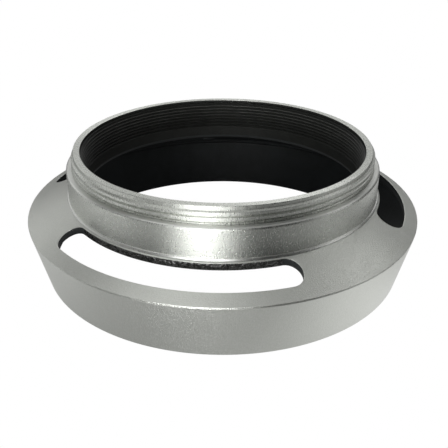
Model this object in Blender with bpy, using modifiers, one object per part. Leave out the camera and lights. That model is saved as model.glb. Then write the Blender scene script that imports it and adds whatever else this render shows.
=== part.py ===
"""Vented screw-in lens hood, 46 mm thread, turned from aluminium.

The hood stands on its front rim: z = 0 is the front rim, +Z points to the lens.
The mount ring screws into the lens.  The hood body (vented flange, tapered skirt
and their black liners) turns on the mount ring, so that the three vents can be
lined up with the viewfinder once the thread is tight.

Sizes are in millimetres and are scaled to metres as each mesh is made.
R_ names are radii from the Z axis, Z_ names are heights above the front rim.
"""
import math

import bmesh
import bpy

MM = 0.001
FACETS = 72                  # round every turned piece

# ---- sizes shared between pieces ---------------------------------------------
# flange cone and skirt taper, which meet at the crease
R_CREASE, Z_CREASE = 30.26, 8.69
CONE = math.tan(math.radians(24.5))      # slope of the flange
R_FRONT = 28.20              # outside of the skirt at the front rim
TAPER = (R_CREASE - R_FRONT) / Z_CREASE
SKIRT_WALL = 0.85
Z_SEAM = 8.62                # underside of the flange rim, above the skirt
Z_SPIGOT = Z_SEAM - 0.77     # lower end of the flange spigot inside the skirt
SKIRT_FIT = 0.06             # radial gap inside the skirt
# hub tube of the flange, and the bore of the mount ring that turns on it
R_HUB_IN, R_HUB_OUT, Z_HUB_TOP = 22.05, 22.80, 15.15
R_TURN_BORE, Z_TURN_TOP = 22.85, 15.60
R_FOOT_IN = 23.40            # inner edge of the mount ring's foot
Z_WIRE = 13.70               # snap ring, between the hub and the mount ring


def plate_top(r):
    """Height of the flange's upper cone at radius r."""
    return Z_CREASE + (R_CREASE - r) * CONE


def skirt_out(z):
    """Outer radius of the tapered skirt at height z."""
    return R_FRONT + TAPER * z


def skirt_in(z):
    """Inner radius of the tapered skirt at height z."""
    return skirt_out(z) - SKIRT_WALL


# ---- scene and materials -----------------------------------------------------
for old in list(bpy.data.objects):
    bpy.data.objects.remove(old, do_unlink=True)

model = bpy.data.collections.new("vented_lens_hood")
cutters = bpy.data.collections.new("cutters")
bpy.context.scene.collection.children.link(model)
bpy.context.scene.collection.children.link(cutters)


def material(name, colour, roughness, metallic):
    mat = bpy.data.materials.new(name)
    mat.use_nodes = True
    shader = mat.node_tree.nodes["Principled BSDF"]
    shader.inputs["Base Color"].default_value = (*colour, 1.0)
    shader.inputs["Roughness"].default_value = roughness
    shader.inputs["Metallic"].default_value = metallic
    return mat


def metal(name, colour, roughness):
    return material(name, colour, roughness, metallic=1.0)


def black(name, colour, roughness):
    return material(name, colour, roughness, metallic=0.0)


silver_mount = metal("silver_mount", colour=(0.62, 0.63, 0.60), roughness=0.32)
silver_flange = metal("silver_flange", colour=(0.58, 0.59, 0.57), roughness=0.38)
silver_skirt = metal("silver_skirt", colour=(0.58, 0.59, 0.57), roughness=0.38)
spring_wire = metal("spring_wire", colour=(0.50, 0.50, 0.51), roughness=0.25)
spring_strip = metal("spring_strip", colour=(0.48, 0.48, 0.50), roughness=0.28)
black_bore = black("black_bore", colour=(0.012, 0.012, 0.011), roughness=0.55)
black_skirt = black("black_skirt", colour=(0.012, 0.012, 0.012), roughness=0.60)
black_acetal = black("black_acetal", colour=(0.02, 0.02, 0.02), roughness=0.45)


# ---- mesh helpers ------------------------------------------------------------
def turned(name, outline, mat):
    """A closed outline in (radius, height), turned once round +Z.
    The outline runs down the outer side and back up the inner side."""
    mesh = bpy.data.meshes.new(name)
    verts = [(r * MM, 0.0, z * MM) for r, z in outline]
    count = len(verts)
    mesh.from_pydata(verts, [(i, (i + 1) % count) for i in range(count)], [])
    ob = bpy.data.objects.new(name, mesh)
    model.objects.link(ob)
    mesh.materials.append(mat)
    screw = ob.modifiers.new("turn", "SCREW")
    screw.axis = "Z"
    screw.angle = 2.0 * math.pi
    screw.steps = FACETS
    screw.render_steps = FACETS
    screw.use_merge_vertices = True
    screw.merge_threshold = 1e-6
    screw.use_smooth_shade = True
    return ob


def evaluated_mesh(ob):
    """A new mesh of the object as its modifiers or curve settings make it."""
    deps = bpy.context.evaluated_depsgraph_get()
    return bpy.data.meshes.new_from_object(ob.evaluated_get(deps))


def bake(ob):
    """Replace an object's modifiers by the mesh they make."""
    mesh = evaluated_mesh(ob)
    ob.modifiers.clear()
    ob.data = mesh
    return ob


def poly_spline(curve, points):
    """Add a straight-sided spline through (x, y, z) points in millimetres."""
    spline = curve.splines.new("POLY")
    spline.points.add(len(points) - 1)
    for point, (x, y, z) in zip(spline.points, points):
        point.co = (x * MM, y * MM, z * MM, 1.0)
    return spline


# ---- mount ring: thread, shoulder, barrel and foot ---------------------------
Z_TOP = 18.58                # lens-side face
R_THREAD = 23.00             # M46 x 0.75 outside thread, crest radius
R_ROOT = 22.74               # thread root, a shallow truncated profile
PITCH = 0.75
HALF_GROOVE, HALF_ROOT = 0.18, 0.03      # half widths at crest and root
R_LAND, Z_LAND = 22.66, 17.98            # plain lead-in land and its lower end
Z_SHOULDER = 16.11           # flat shoulder that meets the lens barrel
Z_RELIEF = Z_SHOULDER - 0.05             # bottom of the thread's run-out
R_RELIEF_IN, R_RELIEF_OUT = R_THREAD - 0.14, R_THREAD + 0.06
R_BARREL = 23.87
R_FOOT = 24.14               # small foot at the lower end of the barrel
Z_FOOT = 11.85               # where the barrel starts to flare into the foot
FOOT_GAP = 0.10              # open seam between the foot and the flange
WASHER_ROOM = 0.30           # recess above the flange for the slip washer
R_LIP, LIP = 21.63, 0.42     # opening and thickness of the lens-side lip
R_UPPER_BORE = 22.10         # bore round the liner
R_WIRE_GROOVE = R_TURN_BORE + 0.23
HALF_WIRE_GROOVE = 0.24


def mount_ring():
    outline = [
        (R_LAND - 0.05, Z_TOP),
        (R_LAND, Z_TOP - 0.07),
        (R_LAND, Z_LAND),
        (R_THREAD, Z_LAND - 0.19),
    ]
    for k in (1, 2):
        z = Z_LAND - PITCH * k
        outline += [
            (R_THREAD, z + HALF_GROOVE),
            (R_ROOT, z + HALF_ROOT),
            (R_ROOT, z - HALF_ROOT),
            (R_THREAD, z - HALF_GROOVE),
        ]
    outline += [
        # run-out and shoulder
        (R_THREAD, Z_SHOULDER + 0.09),
        (R_RELIEF_IN, Z_SHOULDER + 0.03),
        (R_RELIEF_IN, Z_RELIEF),
        (R_RELIEF_OUT, Z_RELIEF),
        (R_RELIEF_OUT, Z_SHOULDER),
        # barrel, with a rounded upper edge, and foot
        (R_BARREL - 0.28, Z_SHOULDER),
        (R_BARREL - 0.08, Z_SHOULDER - 0.08),
        (R_BARREL, Z_SHOULDER - 0.28),
        (R_BARREL, Z_FOOT),
        (R_BARREL + 0.15, Z_FOOT - 0.03),
        (R_FOOT, Z_FOOT - 0.27),
        (R_FOOT, plate_top(R_FOOT) + FOOT_GAP),
        (R_FOOT_IN, plate_top(R_FOOT_IN) + FOOT_GAP),
        (R_FOOT_IN, plate_top(R_FOOT_IN) + WASHER_ROOM),
        # turning bore, with the snap ring groove
        (R_TURN_BORE, plate_top(R_TURN_BORE) + WASHER_ROOM),
        (R_TURN_BORE, Z_WIRE - HALF_WIRE_GROOVE),
        (R_WIRE_GROOVE, Z_WIRE - HALF_WIRE_GROOVE),
        (R_WIRE_GROOVE, Z_WIRE + HALF_WIRE_GROOVE),
        (R_TURN_BORE, Z_WIRE + HALF_WIRE_GROOVE),
        (R_TURN_BORE, Z_TURN_TOP),
        # upper bore and lip
        (R_UPPER_BORE, Z_TURN_TOP),
        (R_UPPER_BORE, Z_TOP - LIP),
        (R_LIP, Z_TOP - LIP),
        (R_LIP, Z_TOP),
    ]
    turned("mount_ring", outline, silver_mount)


# ---- bore liner: black sleeve with light-trap ridges -------------------------
R_BORE = 21.27               # ridge crests and the plain bore below them
R_RIDGE_ROOT = 21.55
R_LINER_OUT = 21.98
Z_LINER_TOP, Z_LINER_BOTTOM = 18.08, 11.62
RIDGE_PITCH, RIDGES = 0.56, 8


def bore_liner():
    outline = [
        (R_LINER_OUT, Z_LINER_TOP),
        (R_LINER_OUT, Z_LINER_BOTTOM),
        (R_BORE + 0.14, Z_LINER_BOTTOM),
        (R_BORE, Z_LINER_BOTTOM + 0.45),
    ]
    ridge_start = Z_LINER_TOP - RIDGE_PITCH * RIDGES
    for k in range(RIDGES):
        z = ridge_start + RIDGE_PITCH * k
        outline += [(R_BORE, z), (R_RIDGE_ROOT, z + RIDGE_PITCH * 0.5)]
    outline += [(R_BORE + 0.06, Z_LINER_TOP)]
    turned("bore_liner", outline, black_bore)


# ---- slip washer between the mount ring and the flange, inside the foot ------
def slip_washer():
    side_gap = 0.06
    bottom, top = 0.06, 0.24     # heights above the flange cone
    r_in, r_out = R_TURN_BORE + side_gap, R_FOOT_IN - side_gap
    turned("slip_washer", [
        (r_out, plate_top(r_out) + top),
        (r_out, plate_top(r_out) + bottom),
        (r_in, plate_top(r_in) + bottom),
        (r_in, plate_top(r_in) + top),
    ], black_acetal)


# ---- vented flange: hub tube, cone and rim -----------------------------------
PLATE = 1.03                 # flange thickness, measured along Z
HUB_CHAMFER = 0.08
R_HUB_GROOVE = R_HUB_OUT - 0.45          # bottom of the snap ring groove
HALF_HUB_GROOVE = 0.26
R_SPIGOT_IN = 28.60
R_EDGE = R_CREASE - 0.06     # where the cone breaks into the crease


def vent_flange():
    return bake(turned("vent_flange", [
        (R_HUB_OUT - HUB_CHAMFER, Z_HUB_TOP),
        (R_HUB_OUT, Z_HUB_TOP - HUB_CHAMFER),
        (R_HUB_OUT, Z_WIRE + HALF_HUB_GROOVE),
        (R_HUB_GROOVE, Z_WIRE + HALF_HUB_GROOVE),
        (R_HUB_GROOVE, Z_WIRE - HALF_HUB_GROOVE),
        (R_HUB_OUT, Z_WIRE - HALF_HUB_GROOVE),
        (R_HUB_OUT, plate_top(R_HUB_OUT)),
        (R_EDGE, plate_top(R_EDGE)),
        (R_CREASE, Z_CREASE - 0.03),
        (skirt_out(Z_SEAM), Z_SEAM),
        (skirt_in(Z_SEAM) - SKIRT_FIT, Z_SEAM),
        (skirt_in(Z_SPIGOT) - 0.08, Z_SPIGOT),
        (R_SPIGOT_IN, Z_SPIGOT),
        (R_SPIGOT_IN, plate_top(R_SPIGOT_IN) - PLATE),
        (R_HUB_IN, plate_top(R_HUB_IN) - PLATE),
        (R_HUB_IN, Z_HUB_TOP),
    ], silver_flange))


# ---- vents: curved slots with full-round ends, cut straight down -------------
VENTS, FIRST_VENT = 3, -106.8            # number, and azimuth of the first
R_VENT_IN, R_VENT_OUT = 24.36, 28.24
VENT_HALF = 39.4             # half length with its round end, degrees
Z_CUT, CUT_HALF_HEIGHT = 10.4, 2.0       # middle and half height of a cutter
SIDE_STEPS, END_STEPS = 16, 8


def arc_points(centre, radius, start, end, indices, steps):
    """The chosen points of an arc divided into equal steps."""
    angles = [start + (end - start) * i / steps for i in indices]
    return [(centre[0] + radius * math.cos(a), centre[1] + radius * math.sin(a), 0.0)
            for a in angles]


def vent_outline(azimuth):
    """Kidney outline of one vent, anticlockwise."""
    r_mid = 0.5 * (R_VENT_IN + R_VENT_OUT)
    r_end = 0.5 * (R_VENT_OUT - R_VENT_IN)
    half_arc = VENT_HALF - math.degrees(r_end / r_mid)
    first = math.radians(azimuth - half_arc)
    last = math.radians(azimuth + half_arc)

    def side(radius, start, end):
        return arc_points((0.0, 0.0), radius, start, end, range(SIDE_STEPS + 1), SIDE_STEPS)

    def round_end(angle, start):
        centre = (r_mid * math.cos(angle), r_mid * math.sin(angle))
        return arc_points(centre, r_end, start, start + math.pi, range(1, END_STEPS), END_STEPS)

    return (side(R_VENT_OUT, first, last) + round_end(last, last)
            + side(R_VENT_IN, last, first) + round_end(first, first + math.pi))


def vent_cutter(name, azimuth):
    """A solid cutter, made by filling and extruding the outline as a curve."""
    curve = bpy.data.curves.new(name, "CURVE")
    curve.dimensions = "2D"
    curve.fill_mode = "BOTH"
    curve.extrude = CUT_HALF_HEIGHT * MM
    poly_spline(curve, vent_outline(azimuth)).use_cyclic_u = True
    guide = bpy.data.objects.new("vent_outline", curve)
    cutters.objects.link(guide)
    mesh = evaluated_mesh(guide)
    bpy.data.objects.remove(guide, do_unlink=True)

    # Join the caps to the walls, so that the cutter is closed.
    bm = bmesh.new()
    bm.from_mesh(mesh)
    bmesh.ops.remove_doubles(bm, verts=bm.verts, dist=1e-7)
    bmesh.ops.recalc_face_normals(bm, faces=bm.faces)
    bm.to_mesh(mesh)
    bm.free()

    cutter = bpy.data.objects.new(name, mesh)
    cutter.location = (0.0, 0.0, Z_CUT * MM)
    cutters.objects.link(cutter)
    cutter.hide_render = True
    cutter.display_type = "WIRE"
    return cutter


def cut_vents(flange):
    for k in range(VENTS):
        azimuth = FIRST_VENT + 360.0 / VENTS * k
        cutter = vent_cutter(f"vent_cut_{k + 1}", azimuth)
        cut = flange.modifiers.new(f"vent_{k + 1}", "BOOLEAN")
        cut.operation = "DIFFERENCE"
        cut.solver = "EXACT"
        cut.object = cutter


# ---- wave washer: a flat ring pressed into three waves -----------------------
def wave_washer():
    waves, amplitude, half_thickness = 3, 0.12, 0.06
    r_in, r_out = R_HUB_IN + 0.12, R_HUB_OUT - 0.06
    z_mid = 0.5 * (Z_HUB_TOP + Z_TURN_TOP)
    washer = bake(turned("wave_washer", [
        (r_out, z_mid + half_thickness),
        (r_out, z_mid - half_thickness),
        (r_in, z_mid - half_thickness),
        (r_in, z_mid + half_thickness),
    ], spring_strip))
    for vert in washer.data.vertices:
        azimuth = math.atan2(vert.co.y, vert.co.x)
        vert.co.z += amplitude * MM * math.sin(waves * azimuth)


# ---- snap ring: sprung wire, open for fitting --------------------------------
def snap_ring():
    r_ring, r_wire = 22.83, 0.20
    first, last, step = 100, 440, 5      # degrees; the opening faces +Y
    curve = bpy.data.curves.new("snap_ring", "CURVE")
    curve.dimensions = "3D"
    curve.bevel_depth = r_wire * MM
    curve.bevel_resolution = 2
    curve.use_fill_caps = True
    angles = [math.radians(a) for a in range(first, last + 1, step)]
    poly_spline(curve, [(r_ring * math.cos(a), r_ring * math.sin(a), Z_WIRE) for a in angles])
    curve.materials.append(spring_wire)
    model.objects.link(bpy.data.objects.new("snap_ring", curve))


# ---- front skirt: silver taper -----------------------------------------------
def front_skirt():
    z_top = Z_SEAM - 0.05
    chamfer_height, chamfer_width = 0.12, 0.10
    turned("front_skirt", [
        (skirt_out(z_top), z_top),
        (skirt_out(chamfer_height), chamfer_height),
        (skirt_out(0.0) - chamfer_width, 0.0),
        (skirt_in(0.0), 0.0),
        (skirt_in(z_top), z_top),
    ], silver_skirt)


# ---- skirt liner: black taper inside the skirt, below the flange spigot ------
def skirt_liner():
    lined_wall = 1.37            # skirt and liner together
    z_top, z_bottom = Z_SPIGOT - 0.08, 0.05
    turned("skirt_liner", [
        (skirt_in(z_top) - SKIRT_FIT, z_top),
        (skirt_in(z_bottom) - SKIRT_FIT, z_bottom),
        (skirt_out(z_bottom) - lined_wall, z_bottom),
        (skirt_out(z_top) - lined_wall, z_top),
    ], black_skirt)


mount_ring()
bore_liner()
slip_washer()
cut_vents(vent_flange())
wave_washer()
snap_ring()
front_skirt()
skirt_liner()

# Smooth shading, with edges over 30 degrees kept sharp.
for ob in model.objects:
    if ob.type == "MESH":
        ob.data.shade_smooth()
        ob.data.set_sharp_from_angle(angle=math.radians(30.0))
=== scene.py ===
"""Vented screw-in lens hood: fine surfaces and materials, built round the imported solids.

The hood's axis is Z.  Its wide open front rests on the table at z = 0 and the mount thread is
at the top; the camera looks from -Y.  Every visible turned piece is modelled again from the
same drawing sizes as its solid.  Sizes are in millimetres and angles in degrees, unless said
otherwise; R_ names are radii from the axis and Z_ names are heights.
"""
import math

import bpy
import bmesh
import numpy as np
from mathutils import Matrix, Vector


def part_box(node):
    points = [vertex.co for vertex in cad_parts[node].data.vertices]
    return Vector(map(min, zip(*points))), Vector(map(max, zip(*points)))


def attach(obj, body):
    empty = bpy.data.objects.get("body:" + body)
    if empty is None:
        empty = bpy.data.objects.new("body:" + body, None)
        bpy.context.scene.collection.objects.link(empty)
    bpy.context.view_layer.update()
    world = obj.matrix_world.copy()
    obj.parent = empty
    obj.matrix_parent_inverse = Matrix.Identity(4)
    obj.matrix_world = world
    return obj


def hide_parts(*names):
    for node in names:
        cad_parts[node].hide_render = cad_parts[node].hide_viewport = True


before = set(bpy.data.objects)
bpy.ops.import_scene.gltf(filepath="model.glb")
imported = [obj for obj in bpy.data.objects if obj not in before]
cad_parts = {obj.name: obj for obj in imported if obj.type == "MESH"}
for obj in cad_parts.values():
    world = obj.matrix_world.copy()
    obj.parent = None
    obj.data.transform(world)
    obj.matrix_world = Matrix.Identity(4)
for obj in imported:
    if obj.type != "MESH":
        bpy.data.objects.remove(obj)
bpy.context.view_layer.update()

MM = 0.001

# ---- drawing sizes -------------------------------------------------------------------------
# mount ring
H_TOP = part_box("mount_ring")[1].z / MM
R_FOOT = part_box("mount_ring")[1].x / MM
R_LAND, R_THREAD, R_ROOT, PITCH = 22.66, 23.00, 22.74, 0.75
Z_GROOVE_1 = 17.98           # first root, half a turn past the thread's start
Z_RELIEF = 16.17             # undercut in the corner above the shoulder
Z_NECK_FOOT, Z_BARREL_TOP = 16.09, 16.11
R_BARREL, Z_FOOT, FOOT_GAP = 23.87, 11.85, 0.10
R_FOOT_IN = 23.40
R_LIP, LIP = 21.63, 0.42
R_UPPER_BORE, R_TURN_BORE, Z_TURN_TOP = 22.10, 22.85, 15.60
# snap ring's height, and the grooves round it in the mount and the hub
Z_WIRE = 13.70
MOUNT_GROOVE_HALF, MOUNT_GROOVE_DEPTH = 0.24, 0.23
HUB_GROOVE_HALF, HUB_GROOVE_DEPTH = 0.26, 0.45
# vented flange: a conical plate round a hub tube
R_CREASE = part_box("vent_flange")[1].x / MM
Z_CREASE = 8.69
CONE = math.tan(math.radians(24.5))
PLATE = 1.03
R_HUB_IN, R_HUB_OUT, Z_HUB_TOP = 22.05, 22.80, 15.15
R_VENT_IN, R_VENT_OUT, VENT_HALF = 24.36, 28.24, 39.4
VENT_STEP = 120.0
VENT_AZIMUTHS = tuple(-106.8 + VENT_STEP * i for i in range(3))
# skirt, its liner, and the flange's spigot inside it
R_FRONT = 28.20
TAPER = (R_CREASE - R_FRONT) / Z_CREASE
SKIRT_WALL, LINED_WALL, SKIRT_GAP = 0.85, 1.37, 0.06
Z_SEAM = 8.62
Z_SPIGOT, R_SPIGOT_IN = Z_SEAM - 0.77, 28.60
# bore liner
R_BORE, R_RIDGE_ROOT, R_LINER_OUT = 21.27, 21.55, 21.98
Z_LINER_TOP, Z_LINER_BOTTOM = 18.08, 11.62
BEVEL_H, BEVEL_R = 0.45, 0.14                 # the liner's lower edge
RIDGE_PITCH, RIDGES = 0.56, 8


def plate_top(r):
    return Z_CREASE + (R_CREASE - r) * CONE


def plate_under(r):
    return plate_top(r) - PLATE


def skirt_out(z):
    return R_FRONT + TAPER * z


def skirt_in(z):
    return skirt_out(z) - SKIRT_WALL


# ---- materials -----------------------------------------------------------------------------
class Nodes:
    """A short way to write the node tree of a material or world."""

    def __init__(self, owner):
        owner.use_nodes = True
        self.owner = owner
        self.tree = owner.node_tree
        self.bsdf = self.tree.nodes.get("Principled BSDF")

    def fill(self, node, inputs):
        """Link each input given as a socket, and set the others."""
        for key, value in inputs.items():
            if isinstance(value, bpy.types.NodeSocket):
                self.tree.links.new(value, node.inputs[key])
            else:
                node.inputs[key].default_value = value

    def node(self, kind, inputs=None, **props):
        node = self.tree.nodes.new(kind)
        for key, value in props.items():
            setattr(node, key, value)
        self.fill(node, inputs or {})
        return node

    def math(self, operation, a, b=0.0):
        return self.node("ShaderNodeMath", {0: a, 1: b}, operation=operation).outputs[0]

    def coords(self):
        if not hasattr(self, "_coords"):
            self._coords = self.node("ShaderNodeTexCoord").outputs["Object"]
        return self._coords

    def noise(self, scale, detail, rough=0.5, distortion=0.0, vector=None):
        return self.node("ShaderNodeTexNoise", {
            "Vector": vector or self.coords(), "Scale": scale, "Detail": detail,
            "Roughness": rough, "Distortion": distortion}).outputs["Fac"]

    def mix(self, fac, a, b):
        return self.node("ShaderNodeMix", {0: fac, 6: a, 7: b}, data_type="RGBA").outputs[2]

    def ramp(self, value, span, out=(0.0, 1.0)):
        """Map span linearly onto out, held at both ends."""
        return self.node("ShaderNodeMapRange", {
            "Value": value, "From Min": span[0], "From Max": span[1],
            "To Min": out[0], "To Max": out[1]}).outputs["Result"]

    def bump(self, height, strength, distance):
        return self.node("ShaderNodeBump", {
            "Strength": strength, "Distance": distance, "Height": height}).outputs["Normal"]

    def camera_switch(self, unseen, seen):
        """One shader for the light that falls on things, another for the camera."""
        camera_ray = self.node("ShaderNodeLightPath").outputs["Is Camera Ray"]
        inputs = {0: camera_ray, 1: unseen.outputs[0], 2: seen.outputs[0]}
        return self.node("ShaderNodeMixShader", inputs).outputs[0]


def new_material(name):
    return Nodes(bpy.data.materials.new(name))


def silver(name, rough, marks, grain, painted_glints, tint=(0.594, 0.612, 0.570)):
    """Silver anodised aluminium, turned and then finely blasted.  marks is how far the lathe
    marks spread the light across them, grain the depth of the blasting, which is drawn out
    along the axis, and painted_glints the amount of light flecks painted in as painted glints."""
    m = new_material(name)
    along = m.node("ShaderNodeVectorMath", {0: m.coords(), 1: (1.0, 1.0, 0.55)},
                   operation="MULTIPLY").outputs[0]
    cloud = m.noise(scale=160.0, detail=3.0, rough=0.6)
    fine = m.noise(scale=5600.0, detail=1.0, vector=along)
    pits = m.noise(scale=7600.0, detail=0.0, vector=along)
    clouded = tuple(c * 0.975 for c in tint)
    base = m.mix(m.ramp(cloud, span=(0.35, 0.65)), (*clouded, 1), (*tint, 1))
    # light flecks painted into the colour: painted glints
    glint_flecks = m.math("MULTIPLY", m.ramp(fine, span=(0.35, 0.70)), painted_glints)
    base = m.mix(glint_flecks, base, (0.76, 0.76, 0.74, 1))
    # convex edges are worn lighter and smoother, in patches
    pointiness = m.node("ShaderNodeNewGeometry").outputs["Pointiness"]
    edge = m.ramp(pointiness, span=(0.52, 0.58))
    worn = m.math("MULTIPLY", edge, m.ramp(cloud, span=(0.42, 0.62), out=(0.1, 0.8)))
    base = m.mix(m.math("MULTIPLY", worn, 0.4), base, (0.78, 0.78, 0.76, 1))
    grained = m.ramp(fine, span=(0.3, 0.7), out=(rough - 0.05, rough + 0.05))
    height = m.math("ADD", m.math("MULTIPLY", pits, 0.85), m.math("MULTIPLY", fine, 0.15))
    m.fill(m.bsdf, {
        "Base Color": base,
        "Metallic": 1.0,
        "Roughness": m.math("ADD", grained, m.math("MULTIPLY", worn, -0.05)),
        "Normal": m.bump(height, strength=grain, distance=0.00005),
        "Anisotropic": marks,
        "Anisotropic Rotation": 0.25,
        "Tangent": m.node("ShaderNodeTangent", direction_type="RADIAL", axis="Z").outputs[0],
    })
    return m.owner


def paint_ridge_light(m, base, mottle, crest_light):
    """Paint the crests of the liner's ridges lighter, a painted highlight, the upper ones
    most, where more light falls.  Returns the colour and the crest highlight, which also makes
    the crests metallic."""
    crest_depth = 0.07
    blend = 0.02                 # half height of the change at the bevel's top
    split = m.node("ShaderNodeSeparateXYZ", {0: m.coords()})
    x, y, z = split.outputs
    squares = m.math("ADD", m.math("POWER", x, 2.0), m.math("POWER", y, 2.0))
    radius = m.math("SQRT", squares)
    crest = m.ramp(radius, span=(R_BORE * MM, (R_BORE + crest_depth) * MM), out=(1.0, 0.0))
    z_low = Z_LINER_TOP - 0.75 * RIDGES * RIDGE_PITCH
    upper = m.ramp(z, span=(z_low * MM, Z_LINER_TOP * MM))
    patches = m.ramp(mottle, span=(0.3, 0.65), out=(0.55 * crest_light, crest_light))
    crest_highlight = m.math("MULTIPLY", m.math("MULTIPLY", crest, upper), patches)
    # the upper part of the bore is painted lighter: painted light falling in from the open top
    base = m.mix(m.math("MULTIPLY", upper, 0.7), base, (0.021, 0.0225, 0.020, 1))
    # the crests are painted lighter: a painted highlight
    base = m.mix(crest_highlight, base, (0.29, 0.29, 0.27, 1))
    # the bevel at the lower edge is painted a little lighter: painted light from the table
    # below
    z_bevel = Z_LINER_BOTTOM + BEVEL_H
    low = m.ramp(z, span=((z_bevel - blend) * MM, (z_bevel + blend) * MM), out=(1.0, 0.0))
    return m.mix(low, base, (0.027, 0.030, 0.030, 1)), crest_highlight


def black(name, colour, rough, spec=0.35, crest_light=0.0, grain=0.5, grain_depth=0.00005,
          grain_scale=5200.0, grain_detail=2.0):
    """Black finish: faint mottling and a fine matt grain, grain_depth (metres) deep."""
    m = new_material(name)
    mottle = m.noise(scale=420.0, detail=3.0, rough=0.6)
    fine = m.noise(scale=grain_scale, detail=grain_detail, rough=0.6)
    lighter = tuple(c * 1.5 for c in colour)
    base = m.mix(m.ramp(mottle, span=(0.35, 0.7)), (*colour, 1), (*lighter, 1))
    # the ridged bore's painted highlights on the crests and painted light on its upper part
    # and lower bevel
    if crest_light:
        base, crest_highlight = paint_ridge_light(m, base, mottle, crest_light)
        m.fill(m.bsdf, {"Metallic": crest_highlight})
    m.fill(m.bsdf, {
        "Base Color": base,
        "Specular IOR Level": spec,
        "Roughness": m.ramp(fine, span=(0.3, 0.7), out=(rough - 0.06, rough + 0.06)),
        "Normal": m.bump(fine, strength=grain, distance=grain_depth),
    })
    return m.owner


def drawn_steel(name, rough):
    m = new_material(name)
    line = m.noise(scale=2600.0, detail=3.0, rough=0.6, distortion=0.3)
    dark, light = (0.42, 0.42, 0.43, 1), (0.56, 0.56, 0.57, 1)
    m.fill(m.bsdf, {
        "Base Color": m.mix(m.ramp(line, span=(0.3, 0.7)), dark, light),
        "Metallic": 1.0,
        "Roughness": m.ramp(line, span=(0.3, 0.7), out=(rough - 0.05, rough + 0.08)),
        "Normal": m.bump(line, strength=0.2, distance=0.00004),
    })
    return m.owner


mat_mount = silver("satin_silver_mount", rough=0.30, marks=0.96, grain=0.55, painted_glints=0.30)
# lighter tint on the lens seat: painted light lifting the shade under the thread
mat_seat_painted_light = silver("lens_seat_painted_light", rough=0.36, marks=0.9, grain=0.4, painted_glints=0.0,
                  tint=(0.71, 0.72, 0.69))
# lighter tint on the foot's upper edge: a painted highlight
mat_foot_painted_highlight = silver("foot_painted_highlight", rough=0.32, marks=0.9, grain=0.3, painted_glints=0.0,
                  tint=(0.79, 0.80, 0.77))
mat_flange = silver("satin_silver_flange", rough=0.35, marks=0.72, grain=0.75, painted_glints=0.35)
mat_skirt = silver("satin_silver_skirt", rough=0.35, marks=0.72, grain=0.75, painted_glints=0.35)
# the ridges carry painted highlights, and the upper part and the lower bevel painted light
mat_bore = black("black_ridged_bore", colour=(0.0088, 0.0094, 0.0082), rough=0.50, spec=0.25,
                 crest_light=0.9)
mat_inside = black("black_inside", colour=(0.0060, 0.0074, 0.0078), rough=0.60, spec=0.22)
mat_wall = black("dark_vent_wall", colour=(0.019, 0.0195, 0.018), rough=0.26, spec=1.0,
                 grain=1.0, grain_depth=0.00022, grain_scale=2900.0, grain_detail=0.0)
mat_acetal = black("black_acetal", colour=(0.02, 0.02, 0.02), rough=0.42, grain=0.15)
mat_wire = drawn_steel("spring_wire", rough=0.26)
mat_strip = drawn_steel("spring_strip", rough=0.30)


# ---- turned surfaces -----------------------------------------------------------------------
def rounded(outline, steps=4):
    """Closed outline of (r, z, fillet radius): each corner with a radius becomes an arc, with
    a holding point beside it so that the flats stay flat when shaded smooth."""
    hold = 0.05                  # distance of a holding point from its arc
    most = 0.45                  # the most of a side that one fillet may take
    points = []
    for i, row in enumerate(outline):
        r, z, fillet = (*row, 0.0)[:3]
        if not fillet:
            points.append((r, z))
            continue
        corner = np.array((r, z))
        back = np.array(outline[i - 1][:2]) - corner
        ahead = np.array(outline[(i + 1) % len(outline)][:2]) - corner
        back_length, ahead_length = np.linalg.norm(back), np.linalg.norm(ahead)
        back, ahead = back / back_length, ahead / ahead_length
        half = math.acos(max(-1.0, min(1.0, float(back @ ahead)))) / 2
        cut = min(fillet / math.tan(half), most * back_length, most * ahead_length)
        radius = cut * math.tan(half)
        bisector = (back + ahead) / np.linalg.norm(back + ahead)
        centre = corner + bisector * (radius / math.sin(half))
        if back_length - cut > 2.5 * hold:
            points.append(tuple(corner + back * (cut + hold)))
        v0 = corner + back * cut - centre
        v1 = corner + ahead * cut - centre
        start = math.atan2(v0[1], v0[0])
        sweep = math.atan2(v0[0] * v1[1] - v0[1] * v1[0], float(v0 @ v1))
        for j in range(steps + 1):
            t = start + sweep * j / steps
            points.append((centre[0] + radius * math.cos(t), centre[1] + radius * math.sin(t)))
        if ahead_length - cut > 2.5 * hold:
            points.append(tuple(corner + ahead * (cut + hold)))
    return points


def smooth(mesh, sharp):
    mesh.shade_smooth()
    mesh.set_sharp_from_angle(angle=math.radians(sharp))


def finish_mesh(name, verts, quads, mats, zones=None, sharp=38.0):
    """Object from points in millimetres; zones holds each face's index into mats."""
    mesh = bpy.data.meshes.new(name)
    mesh.from_pydata([tuple(v * MM for v in p) for p in verts], [], quads)
    for mat in mats:
        mesh.materials.append(mat)
    if zones is not None:
        mesh.polygons.foreach_set("material_index", zones)
    smooth(mesh, sharp)
    mesh.update()
    ob = bpy.data.objects.new(name, mesh)
    bpy.context.scene.collection.objects.link(ob)
    return ob


def hand_over(ob, group, solid):
    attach(ob, group)
    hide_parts(solid)


def full_turn(segments):
    return [2 * math.pi * j / segments for j in range(segments)]


def circle(r, z, angles):
    return [(r * math.cos(a), r * math.sin(a), z) for a in angles]


def ring_grid(rings):
    """Quads between rings of equal length, the last joined back to the first; the outline
    runs down the outer side."""
    n, m = len(rings), len(rings[0])
    verts = [p for ring in rings for p in ring]
    quads = []
    for i in range(n):
        a, b = i * m, ((i + 1) % n) * m
        for j in range(m):
            k = (j + 1) % m
            quads.append((a + j, b + j, b + k, a + k))
    return verts, quads


def turned(name, outline, mat, segments):
    angles = full_turn(segments)
    verts, quads = ring_grid([circle(r, z, angles) for r, z in rounded(outline)])
    return finish_mesh(name, verts, quads, [mat])


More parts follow.
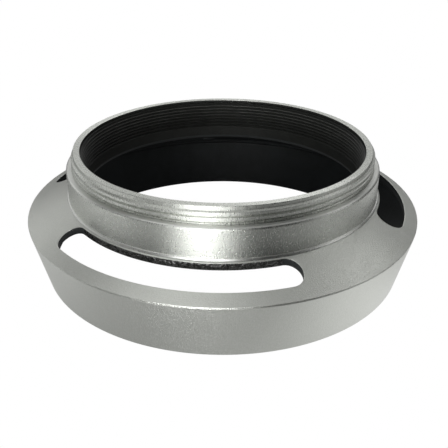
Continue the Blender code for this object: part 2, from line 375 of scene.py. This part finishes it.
# ---- mount ring: helical thread, shoulder, barrel, foot ------------------------------------
MOUNT_SEGMENTS = 480
THREAD_STEP = 0.0185             # height between the thread's rings
THREAD_PHASE = 0.778             # turns that set where the thread starts
THREAD_ROOTS = 5
ROOT_HALF_FLAT, ROOT_HALF_WIDTH = 0.03, 0.18
LAND_SLOPE = 0.19                # height over which the crest falls to the land
RUN_IN = 0.035                   # turns over which the first crest fades out


def clamp(t):
    return min(1.0, max(0.0, t))


def ease(t, amount):
    """A straight ramp from 0 to 1, eased at both ends by amount."""
    return (1 - amount) * t + amount * t * t * (3 - 2 * t)


def thread_radius(z, turn):
    """Outside radius at height z; turn is the azimuth in turns from +X.
    A right-hand thread: each root climbs one pitch per turn.  Above the first root the land
    stays at its own radius."""
    way = (turn + THREAD_PHASE) % 1.0         # 0 just past the thread's start, 1 back at it
    z_root = Z_GROOVE_1 + PITCH * (way - 0.5)
    r = R_THREAD
    for k in range(THREAD_ROOTS):
        off_root = abs(z - (z_root - PITCH * k))
        depth = 1.0 - clamp((off_root - ROOT_HALF_FLAT) / (ROOT_HALF_WIDTH - ROOT_HALF_FLAT))
        r = min(r, R_THREAD - (R_THREAD - R_ROOT) * ease(depth, 0.35))
    over = ease(clamp((z - (z_root - LAND_SLOPE)) / LAND_SLOPE), 0.3)
    r = min(r, R_THREAD - (R_THREAD - R_LAND) * over)
    if z > z_root - PITCH:
        r = R_LAND + (r - R_LAND) * ease(min(1.0, (1.0 - way) / RUN_IN), 1.0)
    return r


# Outlines are (r, z, fillet radius).  The top's lower corners only close it, and are left out.
mount_top = [p for p in rounded([
    (R_LIP, H_TOP, 0.08),
    (R_LAND - 0.05, H_TOP, 0.02),
    (R_LAND, H_TOP - 0.07, 0.02),
    (R_LAND, H_TOP - 0.6),
    (R_LIP, H_TOP - 0.6),
]) if p[1] > H_TOP - 0.24]
# The first and last points only lead into their neighbours' fillets.
mount_under = rounded([
    (R_THREAD, Z_RELIEF + 0.3),
    # undercut and shoulder
    (R_THREAD, Z_RELIEF, 0.03),
    (R_THREAD - 0.03, Z_RELIEF - 0.03, 0.0),
    (R_THREAD - 0.03, Z_NECK_FOOT, 0.02),
    (R_THREAD + 0.02, Z_NECK_FOOT, 0.0),
    (R_THREAD + 0.04, Z_BARREL_TOP + 0.02, 0.02),
    # barrel and foot
    (R_BARREL, Z_BARREL_TOP - 0.04, 0.34),
    (R_BARREL, Z_FOOT, 0.02),
    (R_BARREL + 0.16, Z_FOOT - 0.03, 0.04),
    (R_FOOT, Z_FOOT - 0.28, 0.02),
    (R_FOOT, plate_top(R_FOOT) + FOOT_GAP, 0.02),
    (R_FOOT_IN, plate_top(R_FOOT_IN) + FOOT_GAP, 0.0),
    (R_FOOT_IN, plate_top(R_FOOT_IN) + 0.30, 0.0),
    # lower bore with the snap ring's groove, upper bore, lip
    (R_TURN_BORE, plate_top(R_TURN_BORE) + 0.30, 0.04),
    (R_TURN_BORE, Z_WIRE - MOUNT_GROOVE_HALF),
    (R_TURN_BORE + MOUNT_GROOVE_DEPTH, Z_WIRE - MOUNT_GROOVE_HALF),
    (R_TURN_BORE + MOUNT_GROOVE_DEPTH, Z_WIRE + MOUNT_GROOVE_HALF),
    (R_TURN_BORE, Z_WIRE + MOUNT_GROOVE_HALF),
    (R_TURN_BORE, Z_TURN_TOP),
    (R_UPPER_BORE, Z_TURN_TOP),
    (R_UPPER_BORE, H_TOP - LIP),
    (R_LIP, H_TOP - LIP, 0.03),
    (R_LIP, H_TOP),
])[1:-1]


def mount_zone(r, z):
    """Index of the mount's materials: body, lip's bore, lens seat, foot's upper edge; the last
    two are painted light.
    """
    if r < R_LIP + 0.008 and z < H_TOP - 0.05:
        return 1
    if (R_THREAD + 0.04 < r < R_BARREL - 0.08
            and Z_BARREL_TOP - 0.10 < z < Z_BARREL_TOP + 0.03):
        return 2
    if r > R_BARREL + 0.03 and Z_FOOT - 0.30 < z < Z_FOOT + 0.02:
        return 3
    return 0


def thread_ring(z, angles):
    ring = []
    for a in angles:
        r = thread_radius(z, a / (2 * math.pi))
        ring.append((r * math.cos(a), r * math.sin(a), z))
    return ring


def build_mount():
    angles = full_turn(MOUNT_SEGMENTS)
    rings = [circle(r, z, angles) for r, z in mount_top]
    rings += [thread_ring(z, angles) for z in np.arange(H_TOP - 0.25, Z_RELIEF, -THREAD_STEP)]
    rings += [circle(r, z, angles) for r, z in mount_under]
    zones = []
    for i, ring in enumerate(rings):
        p, q = ring[0], rings[(i + 1) % len(rings)][0]
        zones += [mount_zone((p[0] + q[0]) / 2, (p[2] + q[2]) / 2)] * MOUNT_SEGMENTS
    verts, quads = ring_grid(rings)
    mats = [mat_mount, mat_bore, mat_seat_painted_light, mat_foot_painted_highlight]
    return finish_mesh("mount_ring_fine", verts, quads, mats, zones, sharp=50.0)


hand_over(build_mount(), "mount", "mount_ring")

# ---- bore liner ----------------------------------------------------------------------------
liner_outline = [
    (R_LINER_OUT, Z_LINER_TOP, 0.0),
    (R_LINER_OUT, Z_LINER_BOTTOM, 0.05),
    (R_BORE + BEVEL_R, Z_LINER_BOTTOM, 0.0),
    (R_BORE, Z_LINER_BOTTOM + BEVEL_H, 0.02),
]
for k in range(RIDGES):
    z_ridge = Z_LINER_TOP - RIDGE_PITCH * RIDGES + RIDGE_PITCH * k
    liner_outline += [
        (R_BORE, z_ridge + 0.05, 0.05),
        (R_RIDGE_ROOT, z_ridge + RIDGE_PITCH * 0.42, 0.03),
        (R_RIDGE_ROOT, z_ridge + RIDGE_PITCH * 0.55, 0.03),
    ]
liner_outline += [
    (R_BORE + 0.06, Z_LINER_TOP - 0.05, 0.02),
    (R_BORE + 0.10, Z_LINER_TOP, 0.0),
]
liner = turned("bore_liner_fine", liner_outline, mat_bore, segments=384)
hand_over(liner, "hood", "bore_liner")

# ---- vented flange -------------------------------------------------------------------------
R_MID = 0.5 * (R_VENT_IN + R_VENT_OUT)
END_RADIUS = 0.5 * (R_VENT_OUT - R_VENT_IN)
ARC = math.radians(VENT_HALF) - END_RADIUS / R_MID     # half a vent, less its round end
N_SLOT, N_WEB, N_END = 150, 74, 26                     # steps along a vent, a web, an end
BEV = 0.07                                             # rounding of the vents' upper edges
LOW_BEV = BEV * 0.6                                    # and of their lower edges
SILVER, INSIDE, WALL, BORE = range(4)                  # indices of the flange's materials


def vent_ends(azimuth):
    """Azimuths, in radians, of the centres of a vent's two round ends."""
    return math.radians(azimuth) - ARC, math.radians(azimuth) + ARC


def column_angles():
    """Azimuths of the columns, the same for every ring: fine enough to look round, and
    meeting the ends of the vents."""
    out = []
    for azimuth in VENT_AZIMUTHS:
        near, far = vent_ends(azimuth)
        following = vent_ends(azimuth + VENT_STEP)[0]
        out += [near + (far - near) * i / N_SLOT for i in range(N_SLOT)]
        out += [far + (following - far) * i / N_WEB for i in range(N_WEB)]
    return out


COLUMNS = column_angles()


class Build:
    """Points and faces of the flange, with each face's material index."""

    def __init__(self):
        self.verts, self.faces, self.zones = [], [], []

    def ring(self, r, z):
        i = len(self.verts)
        self.verts += circle(r, z, COLUMNS)
        return list(range(i, len(self.verts)))

    def point(self, x, y, z):
        self.verts.append((x, y, z))
        return len(self.verts) - 1

    def join(self, a, b, zone, closed=True):
        """Quads between two rows of points; zone is one index, or a list of one per quad."""
        count = len(a) if closed else len(a) - 1
        for j in range(count):
            k = (j + 1) % len(a)
            self.faces.append((a[j], b[j], b[k], a[k]))
        self.zones += zone if isinstance(zone, list) else [zone] * count

    def turn(self, profile, zone_of):
        """Rings along a profile; zone_of(r, z) gives the index at each side's middle."""
        rings = [self.ring(r, z) for r, z in profile]
        for i, ((r0, z0), (r1, z1)) in enumerate(zip(profile, profile[1:])):
            self.join(rings[i], rings[i + 1], zone_of((r0 + r1) / 2, (z0 + z1) / 2))
        return rings


def slot_band(build, face, grow, outer_ring, inner_ring, flip, zone):
    """Fills the band between two rings with the webs, leaving the vents open, grown by grow.
    face(r) is the height of the surface.  Returns each vent's edge loop, anticlockwise from
    the start of its outer arc."""
    radius = END_RADIUS + grow
    starts = [s * (N_SLOT + N_WEB) for s in range(len(VENT_AZIMUTHS))]
    webs = []
    for start, azimuth in zip(starts, VENT_AZIMUTHS):
        far = vent_ends(azimuth)[1]
        following = vent_ends(azimuth + VENT_STEP)[0]
        columns = [(start + N_SLOT + j) % len(COLUMNS) for j in range(N_WEB + 1)]
        rows = [[outer_ring[c] for c in columns]]
        for i in range(1, N_END):
            t = math.pi * i / N_END
            x, y = R_MID + radius * math.cos(t), radius * math.sin(t)
            r, off = math.hypot(x, y), math.atan2(y, x)
            row = []
            for j in range(N_WEB + 1):
                a = (far + off) + (following - off - far - off) * j / N_WEB
                row.append(build.point(r * math.cos(a), r * math.sin(a), face(r)))
            rows.append(row)
        rows.append([inner_ring[c] for c in columns])
        for a, b in zip(rows, rows[1:]):
            if flip:
                a, b = b, a
            build.join(a, b, zone, closed=False)
        webs.append(rows)
    loops = []
    for s, start in enumerate(starts):
        columns = [(start + j) % len(COLUMNS) for j in range(N_SLOT + 1)]
        loop = [outer_ring[c] for c in columns]                              # outer arc
        loop += [webs[s][i][0] for i in range(1, N_END)]                     # far end
        loop += [inner_ring[c] for c in reversed(columns)]                   # inner arc back
        loop += [webs[s - 1][N_END - i][N_WEB] for i in range(1, N_END)]     # near end
        loops.append(loop)
    return loops


def vent_arc(r, start, end):
    angles = [start + (end - start) * j / N_SLOT for j in range(N_SLOT + 1)]
    return [(r * math.cos(a), r * math.sin(a)) for a in angles]


def vent_round(radius, azimuth, start):
    """Half circle round a vent's end, from the angle start."""
    points = []
    for i in range(1, N_END):
        t = start + math.pi * i / N_END
        x, y = R_MID + radius * math.cos(t), radius * math.sin(t)
        points.append((x * math.cos(azimuth) - y * math.sin(azimuth),
                       x * math.sin(azimuth) + y * math.cos(azimuth)))
    return points


def vent_loop(build, azimuth, grow, face, lift):
    """Points round one vent, lift above face(r), in the same order as slot_band's loops."""
    radius = END_RADIUS + grow
    near, far = vent_ends(azimuth)
    points = vent_arc(R_MID + radius, near, far)
    points += vent_round(radius, far, 0.0)
    points += vent_arc(R_MID - radius, far, near)
    points += vent_round(radius, near, math.pi)
    return [build.point(x, y, face(math.hypot(x, y)) + lift) for x, y in points]


def vent_zone(step, j):
    """Index of face j round a vent, on the band step below its upper edge.  Only the inner
    arc's wall has the coarse grain; the outer arc's wall takes the darker inside black as
    painted shade, and the round ends take the bore's black, there painted lighter as painted
    light."""
    inner_arc = N_SLOT + N_END
    if step < 2:
        return SILVER
    if step == 6 or j < N_SLOT:
        return INSIDE
    return WALL if inner_arc <= j < inner_arc + N_SLOT else BORE


def rim_zone(r, z):
    silver_side = r > skirt_in(Z_SEAM) - 0.05 and z > Z_SEAM - 0.2
    top_side = z > plate_under(r) + 0.5 * PLATE and z > Z_SEAM
    return SILVER if silver_side or top_side else INSIDE


# from the hub tube's top down its outside to the vents' inner edge
hub_profile = rounded([
    (R_HUB_IN, Z_HUB_TOP),
    (R_HUB_OUT, Z_HUB_TOP, 0.08),
    (R_HUB_OUT, Z_WIRE + HUB_GROOVE_HALF),
    (R_HUB_OUT - HUB_GROOVE_DEPTH, Z_WIRE + HUB_GROOVE_HALF, 0.05),
    (R_HUB_OUT - HUB_GROOVE_DEPTH, Z_WIRE - HUB_GROOVE_HALF, 0.05),
    (R_HUB_OUT, Z_WIRE - HUB_GROOVE_HALF),
    (R_HUB_OUT, plate_top(R_HUB_OUT), 0.05),
    (R_VENT_IN - BEV, plate_top(R_VENT_IN - BEV)),
], steps=3)
# outer land, crease, rim, seat, spigot
rim_profile = rounded([
    (R_VENT_OUT + BEV, plate_top(R_VENT_OUT + BEV)),
    (R_VENT_OUT + BEV + 0.05, plate_top(R_VENT_OUT + BEV + 0.05)),
    (R_CREASE - 0.055, plate_top(R_CREASE - 0.055), 0.03),
    (skirt_out(Z_SEAM), Z_SEAM, 0.012),
    (skirt_in(Z_SEAM) - SKIRT_GAP, Z_SEAM),
    (skirt_in(Z_SPIGOT) - 0.08, Z_SPIGOT, 0.06),
    (R_SPIGOT_IN, Z_SPIGOT, 0.06),
    (R_SPIGOT_IN, plate_under(R_SPIGOT_IN), 0.05),
    (R_VENT_OUT + LOW_BEV, plate_under(R_VENT_OUT + LOW_BEV)),
], steps=3)
# underside, then up the bore of the hub tube; its last point is the hub profile's first
bore_profile = rounded([
    (R_VENT_IN - LOW_BEV, plate_under(R_VENT_IN - LOW_BEV)),
    (R_HUB_IN, plate_under(R_HUB_IN), 0.05),
    (R_HUB_IN, Z_HUB_TOP),
], steps=3)[:-1]
# loops down a vent's wall between its two edges: growth, surface measured from, lift
vent_levels = []
for step in (1, 2, 3):
    t = step / 3 * math.pi / 2
    vent_levels.append((BEV * (1 - math.sin(t)), plate_top, -BEV * (1 - math.cos(t))))
vent_levels += [
    (0.0, plate_top, -BEV - 0.05),
    (0.0, plate_under, LOW_BEV),
    (BEV * 0.25, plate_under, BEV * 0.2),
]


def build_flange():
    build = Build()
    hub = build.turn(hub_profile, lambda r, z: SILVER)
    rim = build.turn(rim_profile, rim_zone)
    bore = build.turn(bore_profile, lambda r, z: INSIDE)
    build.join(bore[-1], hub[0], INSIDE)
    top_loops = slot_band(build, plate_top, BEV, rim[0], hub[-1], flip=True, zone=SILVER)
    low_loops = slot_band(build, plate_under, LOW_BEV, rim[-1], bore[0], flip=False,
                          zone=INSIDE)
    for azimuth, top_loop, low_loop in zip(VENT_AZIMUTHS, top_loops, low_loops):
        walls = [vent_loop(build, azimuth, *level) for level in vent_levels]
        loops = [top_loop, *walls, low_loop]
        for step, (a, b) in enumerate(zip(loops, loops[1:])):
            build.join(a, b, [vent_zone(step, j) for j in range(len(a))])
    mats = [mat_flange, mat_inside, mat_wall, mat_bore]
    flange = finish_mesh("vent_flange_fine", build.verts, build.faces, mats, build.zones,
                         sharp=50.0)
    # merge coincident points and turn every face outwards
    bm = bmesh.new()
    bm.from_mesh(flange.data)
    bmesh.ops.remove_doubles(bm, verts=bm.verts, dist=1e-8)
    bmesh.ops.recalc_face_normals(bm, faces=bm.faces)
    bm.to_mesh(flange.data)
    bm.free()
    smooth(flange.data, sharp=50.0)
    return flange


hand_over(build_flange(), "hood", "vent_flange")

# ---- skirt and its liner -------------------------------------------------------------------
z_top = Z_SEAM - 0.05
skirt = turned("front_skirt_fine", [
    (skirt_out(z_top), z_top, 0.10),
    (skirt_out(0.0), 0.0, 0.12),
    (skirt_in(0.0), 0.0, 0.04),
    (skirt_in(z_top), z_top, 0.0),
], mat_skirt, segments=512)
hand_over(skirt, "hood", "front_skirt")

z_top, z_bottom = Z_SPIGOT - 0.08, 0.05
skirt_liner = turned("skirt_liner_fine", [
    (skirt_in(z_top) - SKIRT_GAP, z_top, 0.04),
    (skirt_in(z_bottom) - SKIRT_GAP, z_bottom, 0.04),
    (skirt_out(z_bottom) - LINED_WALL, z_bottom, 0.06),
    (skirt_out(z_top) - LINED_WALL, z_top, 0.06),
], mat_inside, segments=384)
hand_over(skirt_liner, "hood", "skirt_liner")

# ---- pieces inside that keep their solids --------------------------------------------------
for solid, mat in (("snap_ring", mat_wire), ("wave_washer", mat_strip),
                   ("slip_washer", mat_acetal)):
    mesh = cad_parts[solid].data
    mesh.materials[0] = mat
    smooth(mesh, sharp=35.0)

# ---- light: soft pools on the table and in the sky -----------------------------------------
# azimuth, distance from the axis, width, radiance
TABLE_POOLS = (
    (-101.0, 83.5, 15.2, 8.0),         # the key light's pool, on the camera's side
    (-163.0, 247.0, 68.0, 5.0),        # the far left of the table
    (-40.0, 34.0, 17.0, 0.92),
    (-125.0, 36.0, 14.0, 0.06),
    (-163.0, 48.0, 27.5, 0.61),
    (0.0, 0.0, 12.0, 0.06),            # under the bore
    (15.0, 56.0, 16.0, 0.95),
)
# azimuth, elevation, tightness, radiance
SKY_POOLS = (
    (-103.0, 13.0, 37.0, 10.5),        # key softbox beside the camera, low
    (-160.0, 71.0, 9.6, 1.4),          # overhead softbox
    (144.0, 9.0, 12.5, 1.15),          # left rear reflector
    (24.0, 43.0, 59.0, 1.8),           # right rear
    (60.0, 18.0, 22.0, 0.5),
    (-9.0, -5.0, 19.0, 1.9),           # right reflector, just below the horizon
    (77.0, 40.0, 55.0, 2.8),           # behind
    (20.0, 66.0, 31.0, 0.65),
    (101.0, 30.0, 25.0, 1.0),
)


def table_falloff(m, position, azimuth, distance, width):
    a = math.radians(azimuth)
    spot = (distance * MM * math.cos(a), distance * MM * math.sin(a), 0.0)
    far = m.node("ShaderNodeVectorMath", {0: position, 1: spot}, operation="DISTANCE")
    square = m.math("POWER", far.outputs["Value"], 2.0)
    return m.math("MULTIPLY", square, -0.5 / (width * MM) ** 2)


def sky_falloff(m, direction, azimuth, elevation, tightness):
    a, e = math.radians(azimuth), math.radians(elevation)
    middle = (math.cos(e) * math.cos(a), math.cos(e) * math.sin(a), math.sin(e))
    dot = m.node("ShaderNodeVectorMath", {0: direction, 1: middle}, operation="DOT_PRODUCT")
    return m.math("MULTIPLY", m.math("SUBTRACT", dot.outputs["Value"], 1.0), tightness)


def sum_pools(m, pools, falloff, at, base):
    """Radiance at the place or direction at: every pool's, over an even base."""
    total = None
    for *shape, radiance in pools:
        part = m.math("MULTIPLY", m.math("EXPONENT", falloff(m, at, *shape)), radiance)
        total = part if total is None else m.math("ADD", total, part)
    return m.math("ADD", total, base)


def table_material():
    """White to the camera, pools of light to everything else, clear from underneath."""
    m = new_material("white_table")
    m.tree.nodes.remove(m.bsdf)
    position = m.node("ShaderNodeNewGeometry").outputs["Position"]
    radiance = sum_pools(m, TABLE_POOLS, table_falloff, position, base=0.02)
    above = m.camera_switch(unseen=m.node("ShaderNodeEmission", {"Strength": radiance}),
                            seen=m.node("ShaderNodeEmission", {"Strength": 1.0}))
    surface = m.node("ShaderNodeMixShader", {
        0: m.node("ShaderNodeNewGeometry").outputs["Backfacing"],
        1: above,
        2: m.node("ShaderNodeBsdfTransparent").outputs[0],
    })
    m.fill(m.tree.nodes["Material Output"], {"Surface": surface.outputs[0]})
    return m.owner


bm = bmesh.new()
bmesh.ops.create_circle(bm, cap_ends=True, segments=96, radius=0.9)
mesh = bpy.data.meshes.new("floor")
bm.to_mesh(mesh)
bm.free()
floor = bpy.data.objects.new("floor", mesh)
bpy.context.scene.collection.objects.link(floor)
mesh.materials.append(table_material())

world = bpy.data.worlds.new("studio")
bpy.context.scene.world = world
sky = Nodes(world)
direction = sky.node("ShaderNodeTexCoord").outputs["Generated"]
radiance = sum_pools(sky, SKY_POOLS, sky_falloff, direction, base=0.01)
white = (1, 1, 1, 1)
surface = sky.camera_switch(
    unseen=sky.node("ShaderNodeBackground", {"Color": white, "Strength": radiance}),
    seen=sky.node("ShaderNodeBackground", {"Color": white, "Strength": 1.0}))
sky.fill(sky.tree.nodes["World Output"], {"Surface": surface})
bpy.context.scene.view_settings.view_transform = "Standard"

# ---- camera --------------------------------------------------------------------------------
CAMERA_DISTANCE = 0.10955              # metres from the origin
CAMERA_ELEVATION = math.radians(29.54)
LOOK_DOWN, YAW, ROLL = math.radians(27.54), math.radians(0.11), math.radians(0.13)

camera_data = bpy.data.cameras.new("camera")
camera_data.sensor_width = 36.0
camera_data.lens = 52.81
camera_data.clip_start = 0.005
camera_data.clip_end = 10.0
camera = bpy.data.objects.new("camera", camera_data)
bpy.context.scene.collection.objects.link(camera)
ahead = Vector((0, math.cos(LOOK_DOWN), -math.sin(LOOK_DOWN)))
up = Vector((0, math.sin(LOOK_DOWN), math.cos(LOOK_DOWN)))
right = Vector((1, 0, 0))
ahead, right = (math.cos(YAW) * ahead + math.sin(YAW) * right,
                math.cos(YAW) * right - math.sin(YAW) * ahead)
right, up = (math.cos(ROLL) * right + math.sin(ROLL) * up,
             math.cos(ROLL) * up - math.sin(ROLL) * right)
place = Matrix.Translation((0, -CAMERA_DISTANCE * math.cos(CAMERA_ELEVATION),
                            CAMERA_DISTANCE * math.sin(CAMERA_ELEVATION)))
camera.matrix_world = place @ Matrix((right, up, -ahead)).transposed().to_4x4()
bpy.context.scene.camera = camera
